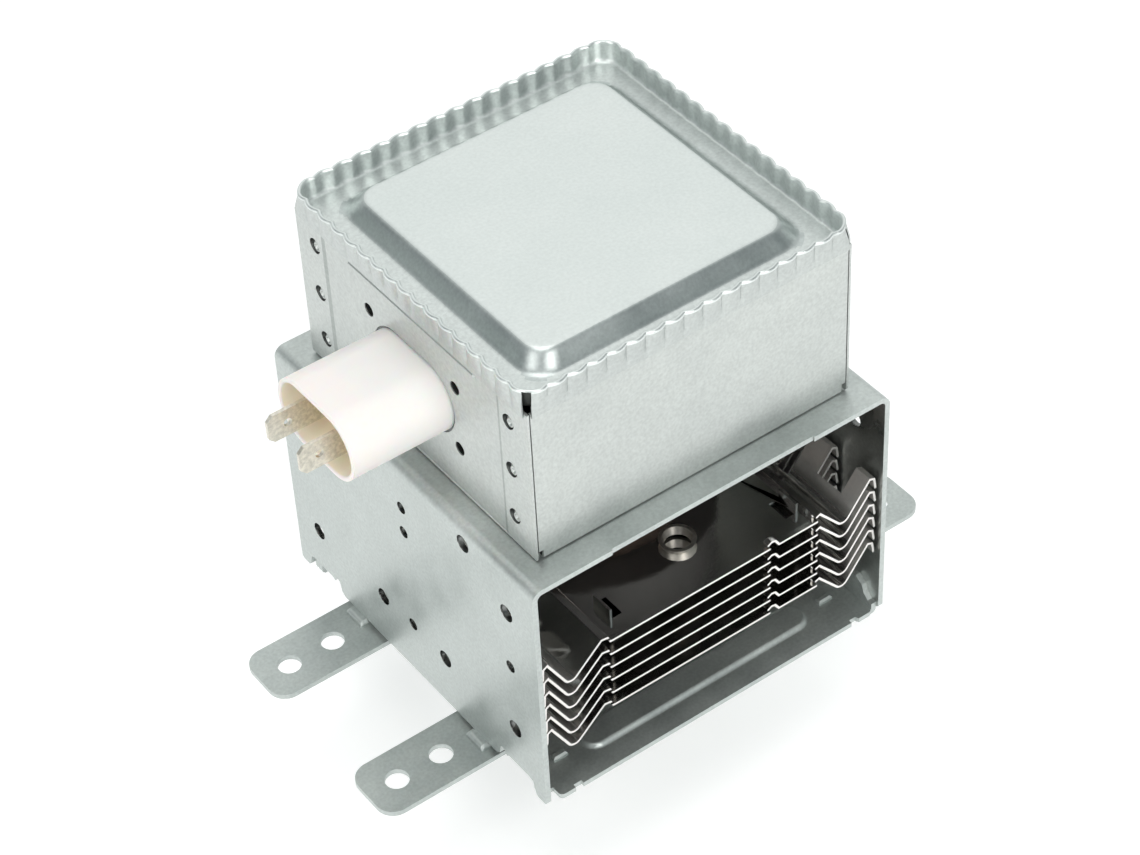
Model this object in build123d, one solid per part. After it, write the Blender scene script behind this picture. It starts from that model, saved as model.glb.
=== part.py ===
from build123d import *
from math import atan, cos, degrees, pi, sin
import os

os.makedirs("parts", exist_ok=True)

# Magnetron of a microwave oven. Millimetres, Z up, origin at the middle of the plate's underside.
# The yoke's open ends face -Y and +Y, the filter capacitor leaves the case towards -X.

# Yoke frame: sheet, outside width and depth, top surface, heights of the lower edge
yoke_t = 1.2
yoke_half_x = 42.75
yoke_half_y = 43.5
yoke_top = 60.3
yoke_bend = 2.4
yoke_foot = 2.5
yoke_leg_foot = 1.5
yoke_notch_top = 6.1
yoke_step = 5.2
front_recess_x = (-24.3, 23.8)
front_recess_depth = 0.4
clip_hole_r = 1.9
pilot_hole_r = 1.35
yoke_inner_x = yoke_half_x - yoke_t
yoke_ceiling = yoke_top - yoke_t

# Mounting plate, set inside the yoke's walls, and its ears
plate_t = 1.2
plate_inset = (2.65, 1.15)
plate_inset_y = 0.4
plate_corner = 1.0
plate_x = (plate_inset[0] - yoke_inner_x, yoke_inner_x - plate_inset[1])
plate_half_y = yoke_half_y - plate_inset_y
nick_width = 1.9
nick_depth = 0.8
nick_places = (plate_x[0] + 4.5, plate_x[1] - 4.6)
ear_y = 19.5
ear_width = 14.5
ear_reach = 25.85
ear_corner = 4.0
ear_end = yoke_half_x + ear_reach
ear_hole_r = 2.5
ear_hole_outer = ear_end - 7.0
ear_hole_inner = ear_end - 17.5
pad_x = (yoke_half_x - 6.75, yoke_half_x + 1.85)
pad_y = (ear_y - 0.9, ear_y + 4.8)
pad_edge = 0.6
bead_x = 0.5
bead_y = plate_half_y - 8.6
bead_length = 2 * (yoke_half_x - 14.25)
bead_width = 7.0
bead_height = 0.8
bead_taper = 35.0
dash_half = (1.7, 0.8)
dash_places = (plate_x[0] + 5.7, plate_x[1] - 5.9)
dash_edge = 0.4
tab_top = yoke_step + 2.0
tab_inner = yoke_inner_x - plate_t
tab_root = yoke_inner_x - 5.0
tab_y = [yoke_half_y - back for back in (15.5, 5.8, 3.2, 0.7)]
tab_edge = [(5.9, tab_top), (3.9, yoke_step + 0.8), (3.2, yoke_step - 1.0), (1.9, yoke_foot + 0.4)]
tab_edge = tab_edge + [(0, yoke_foot + 0.2)]
tab_slope_top = 3.4

# Filter case: sheet and outside planes, flanges behind the side panels, seams and clinches
case_t = 0.5
case_half_x = 37.2
case_half_y = 37.5
case_height = 41.1
case_bend = 1.0
case_seam = 0.25
case_floor = yoke_top
case_top = case_floor + case_height
case_inner = case_half_x - case_t
case_hole_r = 11.3
flange_width = 10.0
flange_foot = case_floor + 1.2
seam_depth = 1.2
relief_depth = 1.5
relief_top = case_floor + 2.5
corner_cut = 4.1
clinch_y = case_half_y - 6.1
clinch_z = [case_top - 9.9 - n * 11.8 for n in range(3)]
clinch_length = 3.2
clinch_width = 1.3

# Lid: sheet, rim, skirt and plateau, flutes
lid_t = 0.4
rim_top = case_top + 0.8
skirt_foot = case_top - 5.1
gutter_z = case_top - 3.8
plateau_z = gutter_z + 3.6
plateau_x = case_half_x - 5.6
plateau_y = case_half_y - 5.3
plateau_corner = 5.0
plateau_taper = 40.0
plateau_edge = 1.0
flute_count = 15
flute_margin = 4.8
flute_depth = 0.5
flute_width = 2.4
rim_corner = 4.4
rim_width = 1.5
rim_inset = 1.1
rim_inner_x = case_half_x - rim_inset
rim_inner_y = case_half_y - rim_inset
slit_width = 2.6
slit_length = 6.0

# Filter capacitor, set in the -X panel
cap_z = case_floor + 19.2
cap_half_straight = 5.2
cap_r = 7.47
cap_wall = 1.0
cap_reach = 21.9
cap_seat_gap = 0.5
cap_hole_y = 14.0
cap_hole_z = 7.6
cap_hole_r = 1.45
cap_flange = (0.8, 18.0, 11.0)
cap_mouth = -case_half_x - cap_reach
potting_depth = 8.1
potting_face = cap_mouth + potting_depth
ceramic_r = 5.4
ceramic_ends = (potting_face + 7.0, potting_face + 23.0)
cap_end = ceramic_ends[1] + 4.0
blade_y = 5.35
blade_t = 0.8
blade_width = 6.35
blade_tip = cap_mouth - 7.0
blade_root = potting_face + 5.0
blade_tip_edge = 1.2
blade_hole_r = 0.9
blade_hole_back = 4.3
rod_r = 1.0
rod_end = cap_end + 4.5

# Choke coils
coil_turns = 6
coil_sides = 12
coil_pitch = 2.2
coil_r = 3.6
coil_wire = 1.3
coil_y = 16.0
coil_start = rod_end + 5.5
core_r = 2.4
core_overhang = 1.5

# Magnets and anode, around the Z axis
magnet_r = 27.0
magnet_bore = 10.3
magnet_t = 14.0
cup_t = 0.8
anode_r = 19.2
anode_wall = 2.0
low_magnet_top = plate_t + magnet_t
high_magnet_foot = yoke_ceiling - magnet_t
anode_foot = low_magnet_top + cup_t
anode_top = high_magnet_foot - cup_t
tube_mid = (anode_foot + anode_top) / 2
vane_count = 10
vane_t = 2.0
vane_tip = 4.6
vane_height = 9.5
strap_t = 0.8
strap_height = 1.2
strap_r = (7.2, 9.2)
strap_touch = 0.1
strap_free = 0.4

# Cooling fins: stack, zigzag wings as (distance from the fin's end, height), hooks, tabs, burred hole
fin_count = 6
fin_t = 0.5
fin_pitch = 3.6
fin_z = low_magnet_top + 2.0
fin_end = yoke_inner_x - fin_t / 2 - 0.5
fin_half_y = yoke_half_y - 1.2
fin_rim = 2.6
wing_left = [(0, -0.2), (0.2, 2.5), (1.2, 3.1), (6.1, -5.5), (13.8, 1.6), (15.2, 1.4), (16.0, 0)]
wing_right = [(15.0, 0), (15.0, 1.45), (14.2, 1.75), (8.2, -5.2), (1.5, 3.4), (0.4, 2.9), (0, 0.4)]
trough_r = 1.65
jog_gaps = [(-fin_end + 14.6, -fin_end + 16.6, 0.35, 1.05), (fin_end - 15.6, fin_end - 14.5, fin_t / 2, 1.2)]
lance_depth = 1.4
lance_gap = (fin_end - 26.7, fin_end - 24.6)
lance_line = [(-2.6, 1.2), (-1.8, 1.7), (-0.9, 1.5), (0.1, 0)]
hook_notch = (fin_end - 5.3, fin_half_y - 11.5, fin_half_y - 4.1)
clip_notch = (fin_end - 8.2, fin_half_y - 20.8, fin_half_y - 17.3)
fin_tab_y = (fin_half_y - 9.7, fin_half_y - 4.4)
fin_tabs = [(-fin_end + 19.6, 2.4), (fin_end - 16.8, -2.5)]
fin_tab_height = 2.75
burr_y = fin_half_y - 11.8
burr_r = 2.5
burr_wall = 0.6
burr_height = 2.2

# Vacuum tube: pole pieces, sealing cups, stem, cathode, output
pole_bore = 4.8
pole_rim_t = 1.6
pole_cone_r = 12.4
pole_nose_r = 6.6
pole_height = 7.2
cup_flange_r = anode_r - 0.8
cup_tube_r = 9.7
cup_lip_r = 5.2
input_cup_end = yoke_top + 5.7
output_cup_end = -9.0
stem_r = 7.4
stem_top = input_cup_end + 7.0
strip_half = 0.9
strip_t = 0.6
pin_y = 5.5
pin_r = 0.8
side_lead_y = 3.0
cathode_lead_r = 0.75
hat_r = 3.9
hat_t = 0.8
filament_r = 1.9
filament_wire = 0.6
filament_height = 9.6
filament_turns = 5
lead_r = 1.0
lead_place = 7.4
lead_bends = (anode_foot - 4.0, anode_foot - 12.0)
output_ceramic_r = 7.0
output_ceramic_end = output_cup_end - 7.5
exhaust_r = 3.8
exhaust_wall = 0.8
exhaust_end = output_ceramic_end - 6.5
pinch_length = 3.0
antenna_r = 7.5
antenna_wall = 0.5
antenna_edge = 1.2
antenna_end = -29.0
gasket_r = 16.0
gasket_t = 3.2
gasket_edge = 0.6
running = 0.05


def save(shape, node):
    export_step(shape, "parts/" + node + ".step")


def block(x, y, z):
    middle = Pos((x[0] + x[1]) / 2, (y[0] + y[1]) / 2, (z[0] + z[1]) / 2)
    return middle * Box(x[1] - x[0], y[1] - y[0], z[1] - z[0])


def turned(points):
    # A solid of revolution about Z from a profile of (radius, z) corners
    profile = make_face(Polyline(*[(r, 0, z) for r, z in points], close=True))
    return revolve(profile, Axis.Z, 360)


def tube(outer, inner, low, high):
    return turned([(inner, low), (outer, low), (outer, high), (inner, high)])


def drill(y, z, radius, x):
    return Pos(x, y, z) * Rot(0, 90, 0) * Cylinder(radius, 6 * yoke_t)


def oval(half_straight, radius, x_low, x_high):
    face = Plane(origin=(x_low, 0, cap_z), x_dir=(0, 1, 0), z_dir=(1, 0, 0)) * SlotCenterToCenter(
        2 * half_straight, 2 * radius
    )
    return extrude(face, x_high - x_low)


def rod(start, end, radius):
    axis = Vector(*end) - Vector(*start)
    face = Plane(origin=start, z_dir=axis) * Circle(radius)
    return extrude(face, axis.length)


def wound(radius, turns, pitch, wire):
    # A coil about Z, its wire square, each turn made of straight runs with mitred joints
    turn = 2 * pi / coil_sides
    rise = pitch / coil_sides
    steps = range(turns * coil_sides + 1)
    path = Polyline(*[(radius * cos(n * turn), radius * sin(n * turn), n * rise) for n in steps])
    section = Plane(origin=path @ 0, x_dir=(1, 0, 0), z_dir=path % 0) * Rectangle(wire, wire)
    return sweep(section, path=path, transition=Transition.RIGHT)


# Yoke frame: a U bent from one sheet, its lower edges profiled, holes punched in both walls
sheet = Pos(0, 0, yoke_top / 2) * Box(2 * yoke_half_x, 2 * yoke_half_y, yoke_top)
sheet = fillet(sheet.edges().filter_by(Axis.Y).group_by(Axis.Z)[-1], yoke_bend)
room = Pos(0, 0, yoke_ceiling / 2) * Box(2 * yoke_inner_x, 3 * yoke_half_y, yoke_ceiling)
room = fillet(room.edges().filter_by(Axis.Y).group_by(Axis.Z)[-1], yoke_bend - yoke_t)
notch_line = [
    (yoke_half_y, yoke_foot),
    (16.6, yoke_foot),
    (15.4, yoke_foot + 0.8),
    (14.9, yoke_notch_top - 0.5),
    (14.2, yoke_notch_top),
    (13.5, yoke_notch_top - 0.5),
    (12.9, yoke_step - 0.6),
    (12.1, yoke_step),
    (5.5, yoke_step),
    (4.2, yoke_step - 0.3),
    (3.4, yoke_leg_foot + 0.6),
    (2.8, yoke_leg_foot),
    (0.5, yoke_leg_foot),
    (0, yoke_leg_foot + 0.5),
]
foot_line = [(0, yoke_half_y - back, z) for back, z in notch_line]
foot_line = foot_line + [(0, yoke_half_y + 1, yoke_leg_foot + 0.5), (0, yoke_half_y + 1, -1), (0, 0, -1)]
foot_cut = extrude(make_face(Polyline(*foot_line, close=True)), yoke_half_x + 1, both=True)
foot_cut = foot_cut + mirror(foot_cut, Plane.XZ)
recess_y = (-yoke_half_y, -yoke_half_y + front_recess_depth)
front_recess = block(front_recess_x, recess_y, (yoke_ceiling - 1, yoke_top + 1))
stem_hole = Pos(0, 0, yoke_ceiling) * Cylinder(magnet_bore, 4 * yoke_t)
edge_y = yoke_half_y - 9.0
clip_holes = [(edge_y, 16.0), (10.9, 15.8), (edge_y, yoke_top - 12.0), (21.25, yoke_top - 4.1)]
punched = [(side * y, z, clip_hole_r) for y, z in clip_holes for side in (-1, 1)]
pilot_holes = [(0.1, yoke_top - 11.1), (0.1, yoke_top - 17.7), (0.3, 16.45), (-edge_y, yoke_top - 26.6)]
front_only = [(y, z, pilot_hole_r) for y, z in pilot_holes]
yoke = sheet - room - foot_cut - front_recess - stem_hole
wall_middle = yoke_half_x - yoke_t / 2
yoke = yoke - [drill(y, z, r, -wall_middle) for y, z, r in punched + front_only]
yoke = yoke - [drill(y, z, r, wall_middle) for y, z, r in punched]
save(yoke, "yoke_frame")

# Mounting plate: ears, holes, embossed beads and pads, upturned corner tabs
outline = RectangleRounded(plate_x[1] - plate_x[0], 2 * plate_half_y, plate_corner)
outline = Pos((plate_x[0] + plate_x[1]) / 2, 0) * outline
for side in (-1, 1):
    outline = outline + Pos(0, side * ear_y) * RectangleRounded(2 * ear_end, ear_width, ear_corner)
    for nick_x in nick_places:
        outline = outline - Pos(nick_x, side * plate_half_y) * Rectangle(nick_width, 2 * nick_depth)
plate = extrude(outline, plate_t)
upright = [
    (tab_root, 0),
    (yoke_inner_x - plate_t / 2, 0),
    (yoke_inner_x, plate_t / 2),
    (yoke_inner_x, tab_top),
    (tab_inner, tab_top),
    (tab_inner, plate_t),
    (tab_root, plate_t),
]
sloping = [
    (tab_root, 0),
    (-plate_x[0], 0),
    (yoke_inner_x, tab_slope_top),
    (yoke_inner_x, tab_top),
    (tab_inner, tab_top),
    (tab_inner, tab_slope_top + plate_t / 3),
    (-plate_x[0] - plate_t / 2, plate_t),
    (tab_root, plate_t),
]
tab_back, tab_turn, tab_front, tab_foot = tab_y
left_tab = [(sloping, tab_back, tab_turn), (upright, tab_turn, tab_front)]
tab_runs = {1: [(upright, tab_back, tab_foot)], -1: left_tab}
above_tab = [(0, yoke_half_y - back, z) for back, z in tab_edge]
above_tab = above_tab + [(0, yoke_half_y, tab_top + 1), (0, above_tab[0][1], tab_top + 1)]
above_tab = extrude(make_face(Polyline(*above_tab, close=True)), yoke_half_x, both=True)
for side in (-1, 1):
    bead = Pos(bead_x, side * bead_y) * SlotOverall(bead_length, bead_width)
    plate = plate + Pos(0, 0, plate_t) * extrude(bead, bead_height, taper=bead_taper)
    plate = plate - extrude(offset(bead, -plate_t / 2), bead_height)
    for dash_x in dash_places:
        dash = Box(2 * dash_half[0], 2 * dash_half[1], bead_height)
        dash = Pos(dash_x, bead_y, plate_t + bead_height / 2) * dash
        dash = chamfer(dash.edges().group_by(Axis.Z)[-1], dash_edge)
        plate = plate + (mirror(dash, Plane.XZ) if side < 0 else dash)
    for wall in (-1, 1):
        pad = block(pad_x, pad_y, (plate_t, yoke_foot))
        pad = chamfer(pad.edges().group_by(Axis.Z)[-1], pad_edge)
        pieces = [pad]
        for line, low_y, high_y in tab_runs[wall]:
            face = Plane.XZ.offset(-low_y) * make_face(Polyline(*line, close=True))
            pieces.append(extrude(face, high_y - low_y, dir=(0, 1, 0)) - above_tab)
        for piece in pieces:
            if wall < 0:
                piece = mirror(piece, Plane.YZ)
            if side < 0:
                piece = mirror(piece, Plane.XZ)
            plate = plate + piece
ear_hole_x = (-ear_hole_outer, -ear_hole_inner, ear_hole_inner, ear_hole_outer)
ear_holes = [(x, side * ear_y) for x in ear_hole_x for side in (-1, 1)]
plate = plate - [Pos(x, y, 0) * Cylinder(ear_hole_r, 4 * plate_t) for x, y in ear_holes]
plate = plate - Cylinder(cup_tube_r + 4 * running, 4 * plate_t)
save(plate, "mounting_plate")

# Filter case: one folded blank, its front and back flanges tucked behind the side panels
case = block((-case_half_x, case_half_x), (-case_half_y, case_half_y), (case_floor, case_top))
case = fillet(case.edges().group_by(Axis.Z)[0], case_bend)
hollow = block(
    (case_t - case_half_x, case_half_x - case_t),
    (case_t - case_half_y, case_half_y - case_t),
    (case_floor + case_t, case_top + 1),
)
hollow = fillet(hollow.edges().group_by(Axis.Z)[0], case_bend - case_t)
case = case - hollow - Pos(0, 0, case_floor) * Cylinder(case_hole_r, 4 * case_t)
behind = case_inner - case_t
tab_half_x = case_half_x - corner_cut
tab_half_y = case_half_y - corner_cut
for wall in (-1, 1):
    for side in (-1, 1):
        fold_y = (case_half_y - flange_width, case_half_y - case_t)
        fold = block((behind, case_inner), fold_y, (flange_foot, skirt_foot))
        seam_y = (case_half_y - seam_depth, case_half_y + 1)
        seam = block((case_inner - case_seam, case_inner), seam_y, (flange_foot, case_top + 1))
        relief_y = (case_half_y - relief_depth, case_half_y + 1)
        relief = block((case_inner - seam_depth, case_inner), relief_y, (yoke_top - 1, relief_top))
        corner_z = (gutter_z - lid_t - running, case_top + 1)
        corner = block((tab_half_x, case_half_x + 1), (tab_half_y, case_half_y + 1), corner_z)
        if wall < 0:
            fold, seam, relief, corner = [mirror(s, Plane.YZ) for s in (fold, seam, relief, corner)]
        if side < 0:
            fold, seam, relief, corner = [mirror(s, Plane.XZ) for s in (fold, seam, relief, corner)]
        case = case + fold - seam - relief - corner
        for z in clinch_z:
            face = Plane(origin=(wall * case_inner, side * clinch_y, z), x_dir=(0, 1, 0), z_dir=(wall, 0, 0))
            clinch = face * Rot(0, 0, -45 * side * wall) * Rectangle(clinch_length, clinch_width)
            case = case - extrude(clinch, case_t)
cap_cut = oval(cap_half_straight, cap_r + cap_seat_gap, -case_half_x - 1, -case_inner + 1)
case = case - cap_cut
screw_holes = [(y, cap_z + z) for y in (-cap_hole_y, cap_hole_y) for z in (-cap_hole_z, cap_hole_z)]
case = case - [Pos(-case_half_x, y, z) * Rot(0, 90, 0) * Cylinder(cap_hole_r, 3) for y, z in screw_holes]
save(case, "filter_case")


# Lid: a pressed pan, its rim hemmed over the case walls and crimped into flutes that fade downwards
def leaning_block(half_x, half_y, corner, foot_z):
    height = rim_top - foot_z
    foot = Pos(0, 0, foot_z) * RectangleRounded(2 * half_x, 2 * half_y, corner)
    return extrude(foot, height, taper=-degrees(atan(flute_depth / height)))


skirt_x = case_half_x + lid_t
skirt_y = case_half_y + lid_t
lid = leaning_block(skirt_x, skirt_y, rim_corner, skirt_foot)
well = leaning_block(rim_inner_x, rim_inner_y, rim_corner - rim_width, gutter_z)
flute_open = flute_width * (flute_depth + 1) / flute_depth / 2
flute = make_face(Polyline((-flute_depth, 0), (1, flute_open), (1, -flute_open), close=True))
flute = Pos(flute_depth, 0, skirt_foot - 1) * extrude(flute, rim_top - skirt_foot + 2)
outer_flutes = []
inner_flutes = []
for quarter in range(4):
    turn = Rot(0, 0, 90 * quarter)
    outer_half, inner_half = ((skirt_x, rim_inner_x), (skirt_y, rim_inner_y))[quarter % 2]
    flute_end = (case_half_y, case_half_x)[quarter % 2] - flute_margin
    for n in range(flute_count + 1):
        along = flute_end - n * 2 * flute_end / flute_count
        outer_flutes.append(turn * Pos(outer_half, along, 0) * flute)
        inner_flutes.append(turn * Pos(inner_half, along, 0) * flute)
lid = lid - outer_flutes - (well - inner_flutes)
room_z = (skirt_foot - 1, gutter_z - lid_t)
lid = lid - block((-case_half_x, case_half_x), (-case_half_y, case_half_y), room_z)
slot_z = (gutter_z - lid_t - 0.1, case_top)
for side in (-1, 1):
    slot_x = sorted((side * case_inner, side * case_half_x))
    slot_y = sorted((side * (case_half_y - case_t), side * case_half_y))
    lid = lid - block(slot_x, (-tab_half_y, tab_half_y), slot_z)
    lid = lid - block((-tab_half_x, tab_half_x), slot_y, slot_z)
plateau_foot = RectangleRounded(2 * plateau_x, 2 * plateau_y, plateau_corner)
plateau = Pos(0, 0, gutter_z) * extrude(plateau_foot, plateau_z - gutter_z, taper=plateau_taper)
plateau = fillet(plateau.edges().group_by(Axis.Z)[-1], plateau_edge)
press = Pos(0, 0, gutter_z - lid_t) * extrude(plateau_foot, plateau_z - gutter_z, taper=plateau_taper)
lid = lid + plateau - press
slit_corner = rim_corner - rim_width + lid_t
slit_space = RectangleRounded(2 * (rim_inner_x + lid_t), 2 * (rim_inner_y + lid_t), slit_corner)
slit_height = case_top - skirt_foot + running / 2
for sign_x in (-1, 1):
    for sign_y in (-1, 1):
        slit = Pos(sign_x * case_half_x, sign_y * case_half_y, (skirt_foot + case_top) / 2)
        slit = slit * Rot(0, 0, 45 * sign_x * sign_y) * Box(slit_length, slit_width, slit_height)
        lid = lid - (slit - extrude(slit_space, rim_top))
save(lid, "filter_case_lid")

# Filter capacitor: flange behind the panel, ceramic block, cases, potting and two blades on rods
flange_t, flange_half_y, flange_half_z = cap_flange
flange_z = (cap_z - flange_half_z, cap_z + flange_half_z)
flange = block((-case_inner, -case_inner + flange_t), (-flange_half_y, flange_half_y), flange_z)
flange = flange - [Pos(-case_inner, y, z) * Rot(0, 90, 0) * Cylinder(cap_hole_r, 3) for y, z in screw_holes]
ceramic = oval(cap_half_straight, ceramic_r, *ceramic_ends)
flange = flange - oval(cap_half_straight, ceramic_r + running, -case_inner - 1, -case_inner + 2)
outer_case = oval(cap_half_straight, cap_r, cap_mouth, -case_inner)
outer_case = outer_case - oval(cap_half_straight, cap_r - cap_wall, cap_mouth - 1, -case_inner + 1)
inner_case = oval(cap_half_straight, cap_r, -case_inner + flange_t, cap_end)
inner_case = inner_case - oval(cap_half_straight, cap_r - cap_wall, -case_inner, cap_end + 1)
potting = oval(cap_half_straight, cap_r - cap_wall, potting_face, -case_inner) - ceramic
for number, side in ((1, 1), (2, -1)):
    y = side * blade_y
    low_z, high_z = cap_z - blade_width / 2, cap_z + blade_width / 2
    blade = block((blade_tip, blade_root), (y - blade_t / 2, y + blade_t / 2), (low_z, high_z))
    blade = chamfer(blade.edges().filter_by(Axis.Y).group_by(Axis.X)[0], blade_tip_edge)
    blade = blade - Pos(blade_tip + blade_hole_back, y, cap_z) * Rot(90, 0, 0) * Cylinder(blade_hole_r, 3)
    blade = blade + rod((blade_root - 1, y, cap_z), (rod_end, y, cap_z), rod_r)
    potting = potting - blade
    ceramic = ceramic - rod((potting_face, y, cap_z), (cap_end, y, cap_z), rod_r + running)
    save(blade, "terminal_blade_" + str(number))
save(flange, "capacitor_flange")
save(ceramic, "capacitor_ceramic")
save(outer_case, "capacitor_outer_tube")
save(inner_case, "capacitor_inner_tube")
save(potting, "capacitor_potting")

# Choke coils on ferrite rods, between the capacitor's rods and the stem's terminals
coil_height = coil_turns * coil_pitch
coil = wound(coil_r, coil_turns, coil_pitch, coil_wire)
coil = Pos(coil_start, coil_y, cap_z) * Rot(0, 90, 0) * Rot(0, 0, -90) * coil
inner_y = coil_y - coil_r
wire_r = coil_wire / 2
coil_foot = (coil_start + wire_r / 3, inner_y, cap_z)
coil = coil + rod((rod_end + wire_r, blade_y + rod_r / 4, cap_z), coil_foot, wire_r)
coil = coil + rod((coil_start + coil_height, inner_y, cap_z), (0, pin_y + pin_r + wire_r / 4, cap_z), wire_r)
core = Cylinder(core_r, coil_height + 2 * core_overhang)
core = Pos(coil_start + coil_height / 2, coil_y, cap_z) * Rot(0, 90, 0) * core
save(coil, "choke_coil_1")
save(mirror(coil, Plane.XZ), "choke_coil_2")
save(core, "choke_core_1")
save(mirror(core, Plane.XZ), "choke_core_2")

# Cooling fins: zigzag wings hooked behind the yoke's walls, notched, with tabs and a burred hole
fin_line = [(back - fin_end, z) for back, z in wing_left] + [(fin_end - back, z) for back, z in wing_right]
fin_bends = [trough_r if height < 0 else 0 for back, height in fin_line[1:-1]]
fin_path = FilletPolyline(*fin_line, radius=fin_bends)
fin_face = make_face(offset(fin_path, fin_t / 2, kind=Kind.INTERSECTION, side=Side.BOTH))
fin = extrude(Plane.XZ * fin_face, fin_half_y, both=True)
fin_reach = (-fin_end, fin_end)
lip_path = Polyline(*[(lance_gap[1] + x, z) for x, z in lance_line])
lip_face = make_face(offset(lip_path, fin_t / 2, kind=Kind.INTERSECTION, side=Side.BOTH))
for side in (-1, 1):
    for notch_x, notch_low, notch_high in (hook_notch, clip_notch):
        notch_y = sorted((side * notch_low, side * notch_high))
        fin = fin - block((notch_x, yoke_half_x), notch_y, fin_reach)
        fin = fin - block((-yoke_half_x, -notch_x), notch_y, fin_reach)
    lance_y = sorted((side * (fin_half_y - lance_depth), side * fin_half_y))
    for jog_low, jog_high, foot, top in jog_gaps:
        fin = fin - block((jog_low, jog_high), lance_y, (foot, top))
    lip = Plane.XZ.offset(-lance_y[0]) * lip_face
    fin = fin - block(lance_gap, lance_y, (-fin_t, fin_t)) + extrude(lip, lance_depth, dir=(0, 1, 0))
    for hinge_x, opening in fin_tabs:
        tab_span = sorted((side * fin_tab_y[0], side * fin_tab_y[1]))
        fin = fin - block(sorted((hinge_x, hinge_x + opening)), tab_span, (-fin_t, fin_t))
        back_x = hinge_x - fin_t if opening > 0 else hinge_x + fin_t
        fin = fin + block(sorted((hinge_x, back_x)), tab_span, (-fin_t / 2, fin_tab_height))
fin = fin + tube(anode_r + fin_t, anode_r - 1, 0, fin_rim)
fin = fin - Cylinder(anode_r, 4 * fin_rim)
burr = tube(burr_r + burr_wall, burr_r, 0, burr_height)
fin = fin + Pos(0, -burr_y, 0) * burr
fin = fin - Pos(0, -burr_y, 0) * Cylinder(burr_r, 4 * burr_height)
for number in range(fin_count):
    save(Pos(0, 0, fin_z + number * fin_pitch) * fin, "cooling_fin_" + str(number + 1))

# Magnets and anode: copper cylinder with the vanes brazed in it, two strap rings on top
save(tube(magnet_r, magnet_bore, plate_t, low_magnet_top), "magnet_output")
save(tube(magnet_r, magnet_bore, high_magnet_foot, yoke_ceiling), "magnet_input")
anode = tube(anode_r, anode_r - anode_wall, anode_foot, anode_top)
vane_top = tube_mid + vane_height / 2
vane_foot = vane_top - vane_height
for number in range(vane_count):
    vane = block((vane_tip, anode_r - anode_wall / 2), (-vane_t / 2, vane_t / 2), (vane_foot, vane_top))
    for place, r in enumerate(strap_r):
        free = (number + place) % 2
        room = strap_t / 2 + strap_touch + strap_free * free
        depth = strap_height + strap_free * free
        vane = vane - block((r - room, r + room), (-vane_t, vane_t), (vane_top - depth, vane_top + 1))
    anode = anode + Rot(0, 0, number * 360 / vane_count) * vane
save(anode, "anode_block")
for name, r in zip(("inner", "outer"), strap_r):
    save(tube(r + strap_t / 2, r - strap_t / 2, vane_top - strap_height, vane_top), "strap_ring_" + name)

# Pole pieces and sealing cups: one profile, turned over for the input side
pole_r = anode_r - anode_wall - running
pole = [(pole_bore, 0), (pole_r, 0), (pole_r, pole_rim_t), (pole_cone_r, pole_rim_t)]
pole = pole + [(pole_nose_r, pole_height), (pole_bore, pole_height)]
pole_output = turned([(r, anode_foot + h) for r, h in pole])
pole_output = pole_output - Pos(lead_place, 0, anode_foot) * Cylinder(1.5 * lead_r, 3 * pole_height)
save(pole_output, "pole_piece_output")
save(turned([(r, anode_top - h) for r, h in pole]), "pole_piece_input")
cup_r = cup_tube_r - cup_t
cups = [("output", anode_foot, output_cup_end, -1), ("input", anode_top, input_cup_end, 1)]
for name, base, end, turn in cups:
    collar = base + turn * cup_t
    lip = end - turn * cup_t
    cup = [(cup_flange_r, base), (cup_flange_r, collar), (cup_tube_r, collar), (cup_tube_r, end)]
    cup = cup + [(cup_lip_r, end), (cup_lip_r, lip), (cup_r, lip), (cup_r, base)]
    save(turned(cup), "sealing_cup_" + name)

# Cathode: coiled filament between two hats, on a centre lead and a side lead
hat_low = tube_mid - filament_height / 2
hat_high = tube_mid + filament_height / 2
coil_pitch_hot = (filament_height - filament_wire) / filament_turns
filament = wound(filament_r, filament_turns, coil_pitch_hot, filament_wire)
filament = Pos(0, 0, hat_low + filament_wire / 2) * filament
save(filament, "filament")
save(tube(hat_r, cathode_lead_r, hat_low - hat_t, hat_low), "end_hat_lower")
save(tube(hat_r, cathode_lead_r + hat_t / 2, hat_high, hat_high + hat_t), "end_hat_upper")
save(rod((0, 0, hat_low - hat_t), (0, 0, stem_top), cathode_lead_r), "cathode_centre_lead")
save(rod((0, side_lead_y, hat_high + hat_t), (0, side_lead_y, stem_top), cathode_lead_r), "cathode_side_lead")
stem = rod((0, 0, input_cup_end), (0, 0, stem_top), stem_r)
for y in (0, side_lead_y):
    stem = stem - rod((0, y, input_cup_end - 1), (0, y, stem_top + 1), cathode_lead_r + running)
save(stem, "stem_ceramic")
strip_end = pin_y + strip_half
strips = [(1, 1, (side_lead_y - strip_half, strip_end)), (2, -1, (-strip_end, strip_half))]
for number, side, ends in strips:
    strip = block((-strip_half, strip_half), ends, (stem_top, stem_top + strip_t))
    pin = rod((0, side * pin_y, stem_top), (0, side * pin_y, cap_z + 1), pin_r)
    save(strip + pin, "stem_terminal_" + str(number))

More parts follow.
